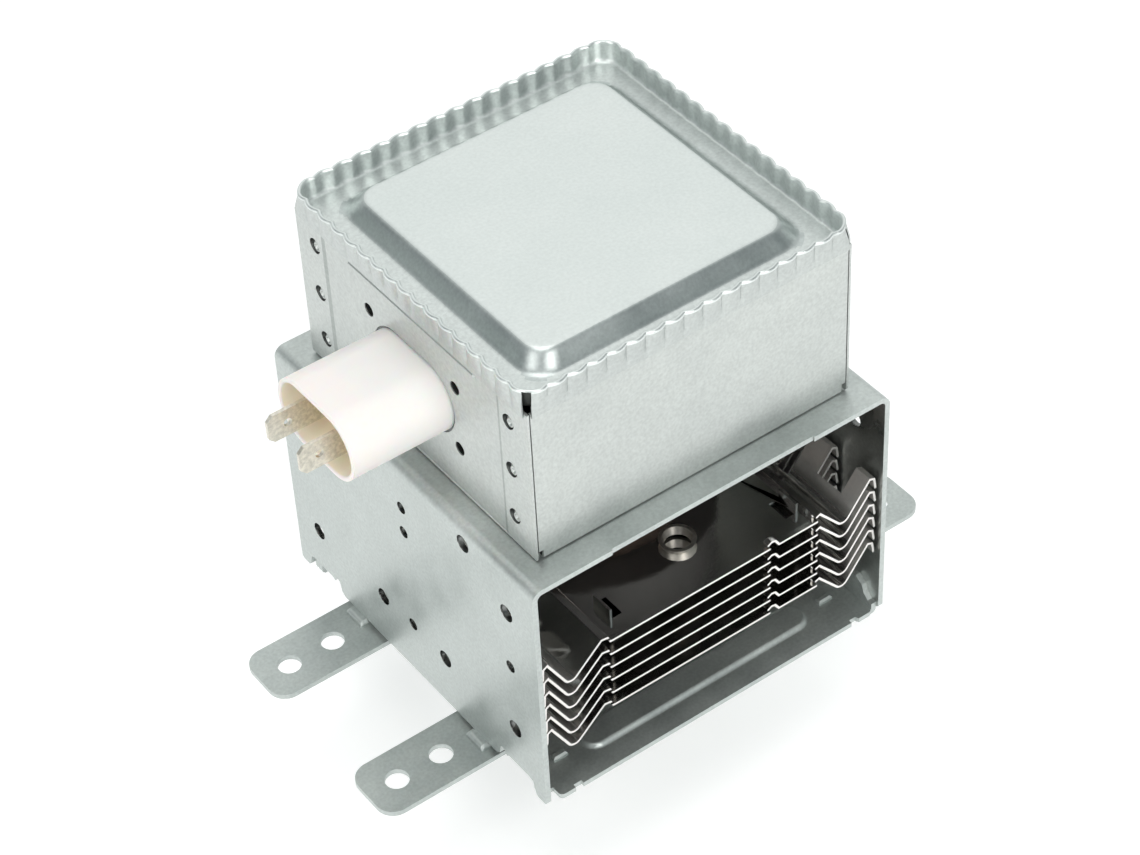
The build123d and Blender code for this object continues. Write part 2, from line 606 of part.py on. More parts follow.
# Antenna: lead from a vane down the axis, ceramic ring, exhaust tube, cap, mesh gasket round the cup
high_bend, low_bend = lead_bends
lead_points = [(lead_place, vane_foot), (lead_place, high_bend), (0, low_bend), (0, exhaust_end + lead_r)]
lead_path = Polyline(*[(x, 0, z) for x, z in lead_points])
lead_section = Plane(origin=lead_path @ 0, z_dir=lead_path % 0) * Circle(lead_r)
save(sweep(lead_section, path=lead_path, transition=Transition.RIGHT), "antenna_lead")
save(tube(output_ceramic_r, cup_lip_r, output_ceramic_end, output_cup_end), "output_ceramic")
exhaust_inner = exhaust_r - exhaust_wall
exhaust_step = output_ceramic_end - exhaust_wall
exhaust = tube(output_ceramic_r, exhaust_inner, exhaust_step, output_ceramic_end)
exhaust = exhaust + tube(exhaust_r, exhaust_inner, exhaust_end, exhaust_step)
pinch_z = (exhaust_end - pinch_length, exhaust_end)
exhaust = exhaust + block((-exhaust_r, exhaust_r), (-exhaust_wall, exhaust_wall), pinch_z)
save(exhaust, "exhaust_tube")
antenna_inner = antenna_r - antenna_wall
antenna_floor = antenna_end + antenna_wall
antenna = [(antenna_r, output_ceramic_end), (antenna_r, antenna_end + antenna_edge)]
antenna = antenna + [(antenna_r - antenna_edge, antenna_end), (0, antenna_end), (0, antenna_floor)]
antenna = antenna + [(antenna_inner - antenna_edge, antenna_floor)]
antenna = antenna + [(antenna_inner, antenna_floor + antenna_edge)]
save(turned(antenna + [(antenna_inner, output_ceramic_end)]), "antenna_cap")
gasket = [(gasket_r - gasket_edge, 0), (gasket_r, -gasket_edge), (gasket_r - gasket_edge, -gasket_t)]
gasket_inner = cup_tube_r + 2 * running
save(turned([(gasket_inner, 0)] + gasket + [(gasket_inner, -gasket_t)]), "gasket_ring")
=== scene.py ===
import math

import bmesh
import bpy
from mathutils import Matrix, Vector


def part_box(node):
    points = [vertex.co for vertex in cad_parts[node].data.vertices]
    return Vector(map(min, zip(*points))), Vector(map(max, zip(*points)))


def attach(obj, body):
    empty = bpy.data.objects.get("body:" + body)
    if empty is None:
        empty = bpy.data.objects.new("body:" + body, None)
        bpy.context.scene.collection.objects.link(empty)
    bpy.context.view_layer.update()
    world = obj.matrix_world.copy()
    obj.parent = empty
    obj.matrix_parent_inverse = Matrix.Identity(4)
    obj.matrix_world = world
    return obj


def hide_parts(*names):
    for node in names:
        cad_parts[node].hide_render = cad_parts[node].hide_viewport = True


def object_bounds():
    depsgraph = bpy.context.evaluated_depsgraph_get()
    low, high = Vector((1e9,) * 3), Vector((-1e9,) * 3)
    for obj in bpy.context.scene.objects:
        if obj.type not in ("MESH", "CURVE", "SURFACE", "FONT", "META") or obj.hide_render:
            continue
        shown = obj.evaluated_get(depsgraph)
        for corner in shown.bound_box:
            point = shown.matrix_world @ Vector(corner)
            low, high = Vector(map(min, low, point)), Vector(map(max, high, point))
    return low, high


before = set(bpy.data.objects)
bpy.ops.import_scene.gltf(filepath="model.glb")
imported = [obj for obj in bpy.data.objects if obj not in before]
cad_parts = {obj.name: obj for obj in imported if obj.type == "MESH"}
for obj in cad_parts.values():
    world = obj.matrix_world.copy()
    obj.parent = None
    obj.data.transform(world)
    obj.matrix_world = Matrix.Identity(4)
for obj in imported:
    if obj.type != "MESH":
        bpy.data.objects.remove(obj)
cad_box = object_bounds()

# Camera: stands in front of the open end and to the capacitor's side, looking down at 43 degrees
# with a long lens, so that the upright edges stay almost parallel.
lens = bpy.data.cameras.new("camera")
lens.lens = 99.84
lens.sensor_width = 36.0
lens.clip_start = 0.01
camera = bpy.data.objects.new("camera", lens)
bpy.context.scene.collection.objects.link(camera)
camera.matrix_world = Matrix(
    (
        (0.80282587, 0.43177283, -0.41114821, -0.259672),
        (-0.59476357, 0.53192042, -0.60275780, -0.376973),
        (-0.04155632, 0.72844553, 0.68384222, 0.474326),
        (0.0, 0.0, 0.0, 1.0),
    )
)
bpy.context.scene.camera = camera
bpy.context.scene.view_settings.view_transform = "Standard"


# Floor and light: a white table under the antenna's tip and a pale room, brightest high up behind the
# magnetron, where the lid's top mirrors it to the camera. Soft boxes stand left, in front, behind and above.
def paint(name):
    material = bpy.data.materials.new(name)
    material.use_nodes = True
    material.node_tree.nodes.clear()
    return material, material.node_tree


def add_node(tree, kind, **settings):
    # Names with a capital are sockets, the others are the node's own settings
    node = tree.nodes.new(kind)
    for key, value in settings.items():
        if key[0].isupper():
            node.inputs[key.replace("_", " ")].default_value = value
        else:
            setattr(node, key, value)
    return node


def two_tones(tree, first, second):
    mix = add_node(tree, "ShaderNodeMix", data_type="RGBA")
    mix.inputs[6].default_value = (*first, 1.0)
    mix.inputs[7].default_value = (*second, 1.0)
    return mix


def white_to_camera(tree, own, glow, seen_by):
    # The background shows white to the camera, and to what mirrors it, without lighting the object more
    seen = add_node(tree, "ShaderNodeLightPath")
    share = add_node(tree, "ShaderNodeMixShader")
    last = seen.outputs["Is Camera Ray"]
    for ray in seen_by:
        either = add_node(tree, "ShaderNodeMath", operation="MAXIMUM")
        tree.links.new(last, either.inputs[0])
        tree.links.new(seen.outputs[ray], either.inputs[1])
        last = either.outputs[0]
    tree.links.new(last, share.inputs[0])
    tree.links.new(own, share.inputs[1])
    tree.links.new(glow, share.inputs[2])
    return share.outputs[0]


table, tree = paint("table_white")
matt = add_node(tree, "ShaderNodeBsdfDiffuse", Color=(0.86, 0.86, 0.86, 1.0))
glow = add_node(tree, "ShaderNodeEmission", Strength=0.36)
lit = add_node(tree, "ShaderNodeAddShader")
out = add_node(tree, "ShaderNodeOutputMaterial")
tree.links.new(matt.outputs[0], lit.inputs[0])
tree.links.new(glow.outputs[0], lit.inputs[1])
shown = white_to_camera(tree, matt.outputs[0], lit.outputs[0], ["Is Glossy Ray", "Is Transmission Ray"])
tree.links.new(shown, out.inputs["Surface"])
bpy.ops.object.select_all(action="DESELECT")
bpy.ops.mesh.primitive_plane_add(size=8.0, location=(0.0, 0.0, cad_box[0][2] - 0.0001))
floor = bpy.context.active_object
floor.name = "table_top"
floor.data.materials.append(table)

room = bpy.data.worlds.new("room")
room.use_nodes = True
tree = room.node_tree
tree.nodes.clear()
way = add_node(tree, "ShaderNodeTexCoord")
behind = add_node(tree, "ShaderNodeVectorMath", operation="DOT_PRODUCT")
behind.inputs[1].default_value = (0.41, 0.60, 0.68)
soft = {"interpolation_type": "SMOOTHSTEP"}
behind_share = add_node(tree, "ShaderNodeMapRange", **soft, From_Min=0.30, From_Max=0.92)
ceiling = two_tones(tree, (0.15, 0.18, 0.19), (0.84, 0.86, 0.85))
split = add_node(tree, "ShaderNodeSeparateXYZ")
low_share = add_node(tree, "ShaderNodeMapRange", **soft, From_Min=0.40, From_Max=0.05)
wall_colour = two_tones(tree, (0.5, 0.5, 0.5), (0.97, 0.99, 0.98))
walls = add_node(tree, "ShaderNodeBackground")
white = add_node(tree, "ShaderNodeBackground", Color=(1.0, 1.0, 1.0, 1.0))
out = add_node(tree, "ShaderNodeOutputWorld")
tree.links.new(way.outputs["Generated"], behind.inputs[0])
tree.links.new(behind.outputs["Value"], behind_share.inputs["Value"])
tree.links.new(behind_share.outputs[0], ceiling.inputs[0])
tree.links.new(way.outputs["Generated"], split.inputs[0])
tree.links.new(split.outputs["Z"], low_share.inputs["Value"])
tree.links.new(low_share.outputs[0], wall_colour.inputs[0])
tree.links.new(ceiling.outputs[2], wall_colour.inputs[6])
tree.links.new(wall_colour.outputs[2], walls.inputs["Color"])
tree.links.new(white_to_camera(tree, walls.outputs[0], white.outputs[0], []), out.inputs["Surface"])
bpy.context.scene.world = room


def soft_box(name, place, size, watts, tint):
    lamp = bpy.data.lights.new(name, "AREA")
    lamp.shape = "RECTANGLE"
    lamp.size, lamp.size_y = size
    lamp.energy = watts
    lamp.color = tint
    holder = bpy.data.objects.new(name, lamp)
    bpy.context.scene.collection.objects.link(holder)
    aim = Vector((0.0, 0.0, 0.05)) - Vector(place)
    holder.matrix_world = Matrix.Translation(place) @ aim.to_track_quat("-Z", "Y").to_matrix().to_4x4()


soft_box("box_left", (-0.97, -0.26, 0.65), (0.52, 1.00), 4.0, (1.0, 0.985, 0.965))
soft_box("box_front", (-0.08, -1.00, 0.65), (0.52, 1.00), 5.9, (1.0, 0.985, 0.965))
soft_box("box_behind", (0.50, 0.73, 0.92), (0.95, 0.95), 0.5, (1.0, 1.0, 1.0))
soft_box("box_above", (-0.10, -0.05, 1.25), (0.7, 0.7), 3.3, (1.0, 0.99, 0.975))


# Yoke frame: carries the magnets' flux round the tube. One strip of zinc-plated steel, punched flat,
# bent to a U and pressed over the corner tabs of the mounting plate.
def sheet_metal(name, pale, shade, gloss=(0.34, 0.50), speckle=0.10, metallic=1.0):
    # Cloudy plating between two tones with a fine grain, which also breaks up its gloss
    cloud_size, grain_height = 0.014, 0.000012
    material, tree = paint(name)
    place = add_node(tree, "ShaderNodeTexCoord")
    metal = add_node(tree, "ShaderNodeBsdfPrincipled", Metallic=metallic)
    out = add_node(tree, "ShaderNodeOutputMaterial")
    cloud = add_node(tree, "ShaderNodeTexNoise", Scale=1.0 / cloud_size, Detail=5.0, Roughness=0.6)
    grain = add_node(tree, "ShaderNodeTexNoise", Scale=1500.0, Detail=3.0)
    tone = two_tones(tree, shade, pale)
    spread = add_node(tree, "ShaderNodeMapRange", From_Min=0.32, From_Max=0.68)
    fleck = add_node(tree, "ShaderNodeMapRange", From_Min=0.30, From_Max=0.70)
    fleck.inputs["To Min"].default_value = 1.0 - speckle
    fleck.inputs["To Max"].default_value = 1.0 + speckle * 0.6
    dotted = add_node(tree, "ShaderNodeVectorMath", operation="SCALE")
    polish = add_node(tree, "ShaderNodeMapRange", From_Min=0.3, From_Max=0.7)
    polish.inputs["To Min"].default_value, polish.inputs["To Max"].default_value = gloss
    relief = add_node(tree, "ShaderNodeBump", Strength=1.0, Distance=grain_height)
    link = tree.links.new
    link(place.outputs["Object"], cloud.inputs["Vector"])
    link(place.outputs["Object"], grain.inputs["Vector"])
    link(cloud.outputs[0], spread.inputs["Value"])
    link(spread.outputs[0], tone.inputs[0])
    link(grain.outputs[0], fleck.inputs["Value"])
    link(tone.outputs[2], dotted.inputs[0])
    link(fleck.outputs[0], dotted.inputs["Scale"])
    link(dotted.outputs[0], metal.inputs["Base Color"])
    link(cloud.outputs[0], polish.inputs["Value"])
    link(polish.outputs[0], metal.inputs["Roughness"])
    link(grain.outputs[0], relief.inputs["Height"])
    link(relief.outputs[0], metal.inputs["Normal"])
    link(metal.outputs[0], out.inputs["Surface"])
    return material


def finish_with(material, *names):
    for name in names:
        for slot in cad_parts[name].material_slots:
            slot.material = material


def work_on(piece):
    bpy.ops.object.select_all(action="DESELECT")
    piece.select_set(True)
    bpy.context.view_layer.objects.active = piece


def pick(piece, want, kind="faces"):
    mesh = bmesh.from_edit_mesh(piece.data)
    for part in (mesh.faces, mesh.edges, mesh.verts):
        for element in part:
            element.select_set(False)
    for element in getattr(mesh, kind):
        if want(element):
            element.select_set(True)
    mesh.select_flush_mode()
    bmesh.update_edit_mesh(piece.data)


def welded_copy(node, name):
    # The frame's mesh is loose triangles: its copy is merged and its flat faces made whole
    piece = bpy.data.objects.new(name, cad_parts[node].data.copy())
    bpy.context.scene.collection.objects.link(piece)
    work_on(piece)
    bpy.ops.mesh.customdata_custom_splitnormals_clear()
    bpy.ops.object.mode_set(mode="EDIT")
    bpy.ops.mesh.select_mode(type="VERT")
    bpy.ops.mesh.select_all(action="SELECT")
    bpy.ops.mesh.remove_doubles(threshold=0.000004)
    bpy.ops.mesh.dissolve_limited(angle_limit=math.radians(0.6))
    bpy.ops.object.mode_set(mode="OBJECT")
    return piece


def ease_edges(piece, width, steps=2, angle=28.0):
    work_on(piece)
    edge = piece.modifiers.new("edge", "BEVEL")
    edge.width = width
    edge.segments = steps
    edge.limit_method = "ANGLE"
    edge.angle_limit = math.radians(angle)
    edge.miter_outer = "MITER_ARC"
    bpy.ops.object.modifier_apply(modifier=edge.name)
    bpy.ops.object.shade_smooth_by_angle(angle=math.radians(40.0))
    even = piece.modifiers.new("even", "WEIGHTED_NORMAL")
    even.keep_sharp = True
    bpy.ops.object.modifier_apply(modifier=even.name)


def hand_over(piece, finishes, slot, *nodes):
    # The first finish covers the piece, and the others wait for the faces that take them
    piece.data.materials.clear()
    for finish in finishes:
        piece.data.materials.append(finish)
    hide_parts(*nodes)
    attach(piece, "root")


zinc = sheet_metal("zinc_plate", (0.575, 0.615, 0.60), (0.485, 0.525, 0.51), metallic=0.72)
# Painted shade: the walls of the punched holes in the yoke's walls are painted near black, as the shade inside
# the holes.
hole_painted_shade = sheet_metal("hole_painted_shade", (0.24, 0.25, 0.245), (0.15, 0.155, 0.15), gloss=(0.2, 0.35))
# Painted shade: the yoke's faces that look inwards or down take a darker copy of the plating, as the shade
# inside the frame.
zinc_painted_shade_inside = sheet_metal("zinc_painted_shade_inside", (0.54, 0.56, 0.54), (0.46, 0.48, 0.465), gloss=(0.25, 0.40))
yoke = welded_copy("yoke_frame", "yoke_sheet")
ease_edges(yoke, 0.00012)
hand_over(yoke, [zinc, hole_painted_shade, zinc_painted_shade_inside], "zinc_steel", "yoke_frame")
wall_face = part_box("yoke_frame")[1].x
wall_depths, punched_low, punched_high, punched_side = (0.00008, 0.0011), 0.010, 0.058, 0.042
# Painted shade by faces: those that look inwards or down take the darker copy, the walls of the punched holes
# the near-black one.
for face in yoke.data.polygons:
    spot, facing = face.center, face.normal
    if facing.x * spot.x < -0.7 * abs(spot.x) or facing.z < -0.7 and spot.z > 0.05:
        face.material_index = 2
    in_wall = wall_depths[0] < wall_face - abs(spot.x) < wall_depths[1] and abs(facing.x) < 0.3
    if in_wall and punched_low < spot.z < punched_high and abs(spot.y) < punched_side:
        face.material_index = 1

# Mounting plate: the base that bolts the magnetron to the oven's waveguide. It is pressed from zinc-plated
# steel, with stiffening beads and pads and four punched ears, and its corner tabs hold the yoke's feet.
plate_zinc = sheet_metal("plate_zinc", (0.56, 0.60, 0.58), (0.46, 0.50, 0.49), metallic=0.8)
plate = welded_copy("mounting_plate", "mounting_plate_sheet")
sheet_top, ear_root = 0.0012, wall_face
bead_reach, bead_near, bead_far, pad_side = 0.0312, 0.028, 0.040, 0.0255


def pressed_form(edge):
    # The beads' outlines and the pads' edges beside the yoke: drawn sheet, so they are round
    first, second = [v.co for v in edge.verts]
    if len(edge.link_faces) != 2 or min(first.z, second.z) < sheet_top - 0.00002:
        return False
    bend = math.degrees(edge.calc_face_angle(0.0))
    level = abs(first.z - second.z) < 0.00001
    on_bead = level and abs(first.x) < bead_reach and bead_near < abs(first.y) < bead_far
    raised = max(first.z, second.z) > sheet_top + 0.0001
    on_pad = raised and abs(first.x) > ear_root and abs(first.y) < pad_side
    return on_bead and 20.0 < bend < 80.0 or on_pad and bend > 30.0


def round_over(piece, wanted, width, steps):
    pick(piece, wanted, "edges")
    bpy.ops.mesh.bevel(offset=width, offset_type="OFFSET", segments=steps, affect="EDGES", clamp_overlap=True)


bpy.ops.object.mode_set(mode="EDIT")
bpy.ops.mesh.select_mode(type="EDGE")
round_over(plate, pressed_form, 0.0006, 4)
bpy.ops.object.mode_set(mode="OBJECT")
ease_edges(plate, 0.00012)
hand_over(plate, [plate_zinc], "zinc_steel", "mounting_plate")

# Filter case: the box that screens the chokes and the tube's stem. One blank of thinner zinc-plated sheet is
# folded up, and the flanges of two walls are clinched behind the side panels, one of which has a long bead.
case_zinc = sheet_metal("case_zinc", (0.61, 0.64, 0.62), (0.53, 0.56, 0.545), metallic=0.72)
# Painted shade: the sunk rings of the clinches and the rounded foot of the case are painted near black, as the
# shade in the clinches and in the gap on the yoke.
gap_painted_shade = sheet_metal("gap_painted_shade", (0.20, 0.21, 0.205), (0.13, 0.137, 0.133), gloss=(0.35, 0.5))
# Painted shade: the narrow slope of the step along each strip takes a darker copy of the plating, so that the
# step shows as a shaded line.
step_painted_shade = sheet_metal("step_painted_shade", (0.46, 0.49, 0.475), (0.37, 0.40, 0.385))
case = welded_copy("filter_case", "filter_case_sheet")
case_low, case_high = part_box("filter_case")
case_foot, case_top, case_face, case_end = case_low.z, case_high.z, case_high.x, 0.0375
under_gutter = 0.0972
clinch_y, clinch_heights, clinch_widening = 0.0314, (0.0915, 0.0797, 0.0679), 1.6
slot_depth, ring_depth = 0.0005, 0.0009
strip_y, strip_slope, strip_step = 0.0287, 0.0009, 0.00022
bead_ends, bead_z, bead_rise = (-0.0214, 0.0196), 0.0951, 0.00024
bead_foot, bead_crest, bead_ramp = 0.0007, 0.0003, 0.0004
on_plane = 0.00002
bpy.ops.object.mode_set(mode="EDIT")
bpy.ops.mesh.select_mode(type="FACE")


def panel_face(side, y_range=(-1.0, 1.0), z_range=(-1.0, 1.0)):
    def wanted(face):
        spot = face.calc_center_median()
        inside = y_range[0] < spot.y < y_range[1] and z_range[0] < spot.z < z_range[1]
        return inside and abs(spot.x - side * case_face) < on_plane and face.normal.x * side > 0.99

    return wanted


for side in (-1, 1):
    for y in (-strip_y, strip_slope - strip_y, strip_y - strip_slope, strip_y):
        pick(case, panel_face(side))
        bpy.ops.mesh.bisect(plane_co=(0.0, y, 0.0), plane_no=(0.0, 1.0, 0.0))
for z in (bead_z - bead_foot, bead_z - bead_crest, bead_z + bead_crest, bead_z + bead_foot):
    pick(case, panel_face(-1))
    bpy.ops.mesh.bisect(plane_co=(0.0, 0.0, z), plane_no=(0.0, 0.0, 1.0))
crest_ends = (bead_ends[0] + bead_ramp, bead_ends[1] - bead_ramp)
for y in (bead_ends[0], *crest_ends, bead_ends[1]):
    pick(case, panel_face(-1, z_range=(bead_z - bead_foot, bead_z + bead_foot)))
    bpy.ops.mesh.bisect(plane_co=(0.0, y, 0.0), plane_no=(0.0, 1.0, 0.0))
pick(case, panel_face(-1, crest_ends, (bead_z - bead_crest, bead_z + bead_crest)))
bpy.ops.transform.translate(value=(-bead_rise, 0.0, 0.0))


def clinch_at(spot, reach=0.0022, deep=0.0006):
    # The clinch that a point belongs to: its middle (y, z) and the way across its slot
    for y in (-clinch_y, clinch_y):
        for z in clinch_heights:
            if math.hypot(spot.y - y, spot.z - z) < reach and abs(spot.x) > case_face - deep:
                return y, z, math.copysign(math.sqrt(0.5), y)
    return None


for vertex in bmesh.from_edit_mesh(case.data).verts:
    clinch = clinch_at(vertex.co)
    if clinch:
        y, z, across = clinch
        aside = (vertex.co.y - y) * math.sqrt(0.5) + (vertex.co.z - z) * across
        vertex.co.y += clinch_widening * aside * math.sqrt(0.5)
        vertex.co.z += clinch_widening * aside * across


def clinch_corner(edge):
    first, second = [v.co for v in edge.verts]
    across = abs(first.x - second.x) > 0.0004 and (first - second).length < 0.00055
    return across and clinch_at(first, 0.0026) is not None


def clinch_floor(face, side):
    spot = face.calc_center_median()
    sunk = abs(side * spot.x - case_face + slot_depth) < 0.00003 and abs(face.normal.x) > 0.99
    return sunk and clinch_at(spot) is not None


def clinch_rim(edge):
    first, second = [v.co for v in edge.verts]
    on_face = abs(abs(first.x) - case_face) < on_plane and abs(abs(second.x) - case_face) < on_plane
    near = clinch_at(first) is not None and clinch_at(second) is not None
    return on_face and near and len(edge.link_faces) == 2 and edge.calc_face_angle(0.0) > 1.2


bpy.ops.mesh.select_mode(type="EDGE")
round_over(case, clinch_corner, 0.0015, 6)
round_over(case, clinch_rim, 0.00018, 3)
bpy.ops.mesh.select_mode(type="FACE")
# The floor of a clinch is pressed deeper and raised again to a tongue: (insets, outwards, sideways, up)
tongue_steps = [
    ((), -0.0004, 0.0, 0.0),
    ((0.00045, 0.00025), 0.0006, -0.0002, -0.00035),
    ((0.0003, 0.0002), -0.0004, 0.0, 0.0001),
]
for side in (-1, 1):
    pick(case, lambda face: clinch_floor(face, side))
    for insets, outwards, sideways, up in tongue_steps:
        for inset in insets:
            bpy.ops.mesh.inset(thickness=inset, use_individual=False)
        bpy.ops.transform.translate(value=(side * outwards, sideways, up))
for side in (-1, 1):
    pick(case, panel_face(side, (strip_slope - strip_y, strip_y - strip_slope)))
    bpy.ops.transform.translate(value=(-side * strip_step, 0.0, 0.0))
for vertex in bmesh.from_edit_mesh(case.data).verts:
    if vertex.co.z > case_top - on_plane:
        vertex.co.z = under_gutter


def foot_edge(edge):
    ends = [v.co for v in edge.verts]
    low = max(end.z for end in ends) < case_foot + on_plane
    outside = max(min(abs(end.x) - case_face, abs(end.y) - case_end) for end in ends)
    on_wall = [min(abs(abs(end.x) - case_face), abs(abs(end.y) - case_end)) < 0.00003 for end in ends]
    return low and all(on_wall) and outside < 0.0001 and len(edge.link_faces) == 2


bpy.ops.mesh.select_mode(type="EDGE")
round_over(case, foot_edge, 0.0003, 3)
bpy.ops.object.mode_set(mode="OBJECT")
ease_edges(case, 0.00005)
hand_over(case, [case_zinc, gap_painted_shade, step_painted_shade], "zinc_steel", "filter_case")
# Painted shade by faces: the slope of each strip's step takes a darker copy of the plating, and the clinches'
# sunk rings and the rounded foot the near-black one.
for face in case.data.polygons:
    spot = face.center
    if strip_y - strip_slope < abs(spot.y) < strip_y and case_face - strip_step < abs(spot.x) < case_face:
        face.material_index = 2
    clinch = clinch_at(spot, 0.0026, 0.001)
    sunk = abs(abs(spot.x) - case_face + ring_depth) < 0.00006 and abs(face.normal.x) > 0.9
    if clinch and abs(face.normal.x) < 0.6 and abs(spot.x) < case_face - 0.00015:
        sunk = math.hypot(spot.y - clinch[0], spot.z - clinch[1]) > 0.00125
    on_foot = spot.z < case_foot + 0.0003 and face.normal.z < -0.15
    if sunk and clinch or on_foot:
        face.material_index = 1

# Lid: closes the filter case. A pan with a raised middle, pressed from smoother plated sheet, its rim is
# hemmed over the case's walls and crimped into flutes, with a slit at each corner.
lid_zinc = sheet_metal("lid_zinc", (0.74, 0.78, 0.765), (0.70, 0.745, 0.73), gloss=(0.30, 0.41), speckle=0.05)
# Painted shade: the lid's skirt takes a darker copy of its plating.
painted_skirt_shade = sheet_metal("lid_skirt_painted_shade", (0.56, 0.59, 0.575), (0.50, 0.53, 0.52), gloss=(0.34, 0.46))
# Painted shade: the faces of the corner slits are painted near black, as the shade in the slits.
painted_slit_shade = sheet_metal("lid_slit_painted_shade", (0.08, 0.085, 0.08), (0.05, 0.053, 0.05), gloss=(0.4, 0.6))
# Painted shade: the gutter and the rim's inner face take a slightly darker copy of the lid's plating.
painted_gutter_shade = sheet_metal("lid_gutter_painted_shade", (0.72, 0.76, 0.745), (0.66, 0.70, 0.685), gloss=(0.38, 0.48))
# Painted shade: the plateau's sloping shoulder takes a darker copy of the lid's plating.
painted_shoulder_shade = sheet_metal("lid_shoulder_painted_shade", (0.6, 0.645, 0.635), (0.53, 0.575, 0.565), gloss=(0.3, 0.41))
core_x, core_y = 0.0325, 0.0328
flutes, per_flute, corner_steps = 15, 12, 10
flute_depth, flute_pitch, corner_reach = 0.00065, 0.00433, 0.0051
gutter_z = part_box("filter_case_lid")[1].z - 0.0046
# From the skirt's foot over the rim to the gutter, in mm: (distance outside the core, height, crimp, how
# round the corner is, wave). Crimp and roundness run from 0 to 1, and a higher wave widens the valleys.
rim_rings = [
    (5.10, 96.30, 0.05, 0.0, 0.6), (5.12, 96.85, 0.20, 0.0, 0.6), (5.20, 97.70, 0.46, 0.10, 0.6),
    (5.32, 98.80, 0.75, 0.35, 0.6), (5.46, 99.90, 0.95, 0.70, 0.6), (5.56, 101.10, 1.0, 1.0, 0.7),
    (5.60, 101.60, 1.0, 1.0, 0.8), (5.56, 101.92, 1.0, 1.0, 0.9), (5.42, 102.12, 1.0, 1.0, 1.0),
    (5.18, 102.20, 1.0, 1.0, 1.1), (4.94, 102.12, 1.0, 1.0, 1.2), (4.80, 101.92, 1.0, 1.0, 1.35),
    (4.74, 101.55, 0.85, 1.0, 1.5), (4.67, 100.60, 0.66, 1.0, 1.6), (4.60, 99.60, 0.62, 1.0, 1.6),
    (4.54, 98.80, 0.60, 1.0, 1.6), (4.44, 98.25, 0.45, 1.0, 1.6), (4.24, 97.84, 0.2, 1.0, 1.6),
    (3.92, 97.66, 0.05, 1.0, 1.6), (3.50, 97.60, 0.0, 1.0, 1.6),
]
# From the gutter up the plateau, in mm: (distance inside its foot, height above the gutter)
plateau_rings = [
    (-1.2, 0.0), (-0.6, 0.05), (-0.1, 0.22), (0.35, 0.55), (0.8, 1.02), (1.3, 1.62), (1.8, 2.22),
    (2.25, 2.75), (2.65, 3.16), (3.05, 3.42), (3.5, 3.55), (4.1, 3.6), (6.0, 3.62), (14.0, 3.66), (24.0, 3.68),
]
plateau_foot = (0.0316, 0.0322)
plateau_corner, sharpest_corner = 0.0060, 0.0012
slit_flap, slit_half, slit_out, slit_top, rim_bend = 0.0013, 0.0009, 0.00505, 0.1019, 0.1016
# Round the lid: (side, how far along it, step round the corner or None on the straight)
stations = []
for quarter in range(4):
    stations += [(quarter, n / (flutes * per_flute), None) for n in range(flutes * per_flute + 1)]
    stations += [(quarter, 1.0, n) for n in range(1, corner_steps)]


def dip(along, bend, wave):
    # How deep the crimp is at a station: sharp valleys outside, even waves inside, nothing round the corner
    if bend is None:
        return 1.0 - abs(math.sin(math.pi * along * flutes)) ** wave
    arc = corner_reach * math.radians(90.0 * min(bend, corner_steps - bend) / corner_steps)
    return max(0.0, 1.0 - math.sin(min(math.pi / 2, math.pi * arc / flute_pitch)))


def rim_point(station, out, high, crimp, round_corner, wave):
    quarter, along, bend = station
    across, length = ((core_x, core_y), (core_y, core_x))[quarter % 2]
    reach = out - flute_depth * crimp * dip(along, bend, wave)
    if bend is None:
        x, y = across + reach, (2 * along - 1) * length
    else:
        angle = math.pi / 2 * bend / corner_steps
        arc = Vector((across + reach * math.cos(angle), length + reach * math.sin(angle)))
        flap = reach - slit_flap
        half = corner_steps // 2
        if bend < half:
            flat = Vector((across + reach, length + flap * bend / (half - 1)))
        elif bend == half:
            flat = Vector((across + reach, length + reach))
        else:
            flat = Vector((across + flap * (corner_steps - bend) / (half - 1), length + reach))
        x, y = flat.lerp(arc, round_corner)
    turned = Matrix.Rotation(math.pi / 2 * quarter, 2) @ Vector((x, y))
    return Vector((turned.x, turned.y, high))


def plateau_point(station, half_x, half_y, corner, high):
    quarter, along, bend = station
    across, length = ((half_x, half_y), (half_y, half_x))[quarter % 2]
    if bend is None:
        x, y = across, (2 * along - 1) * (length - corner)
    else:
        angle = math.pi / 2 * bend / corner_steps
        x, y = across - corner + corner * math.cos(angle), length - corner + corner * math.sin(angle)
    turned = Matrix.Rotation(math.pi / 2 * quarter, 2) @ Vector((x, y))
    return Vector((turned.x, turned.y, high))


ring_points = []
for out, high, crimp, round_corner, wave in rim_rings:
    ring_points.append([rim_point(s, out / 1000, high / 1000, crimp, round_corner, wave) for s in stations])
for inside, rise in plateau_rings:
    inside = inside / 1000
    corner = max(sharpest_corner, plateau_corner - 0.55 * inside)
    half_x, half_y = plateau_foot[0] - inside, plateau_foot[1] - inside
    ring_points.append([plateau_point(s, half_x, half_y, corner, gutter_z + rise / 1000) for s in stations])
rings, columns = len(ring_points), len(stations)
bpy.ops.object.select_all(action="DESELECT")
bpy.ops.mesh.primitive_grid_add(x_subdivisions=columns, y_subdivisions=rings - 1, size=1.0)
lid = bpy.context.active_object
lid.name = "filter_case_lid_pressing"
for vertex in lid.data.vertices:
    column = round((vertex.co.x + 0.5) * columns) % columns
    ring = round((vertex.co.y + 0.5) * (rings - 1))
    vertex.co = ring_points[ring][column]
work_on(lid)
bpy.ops.object.mode_set(mode="EDIT")
bpy.ops.mesh.select_mode(type="VERT")
bpy.ops.mesh.select_all(action="SELECT")
bpy.ops.mesh.remove_doubles(threshold=0.000001)
bpy.ops.mesh.select_mode(type="FACE")


def in_slit(face):
    spot = face.calc_center_median()
    from_core = Vector((abs(spot.x) - core_x, abs(spot.y) - core_y))
    aside = abs(from_core.x - from_core.y) * math.sqrt(0.5)
    return spot.z < slit_top and from_core.length > slit_out and min(from_core) > 0.0 and aside < slit_half


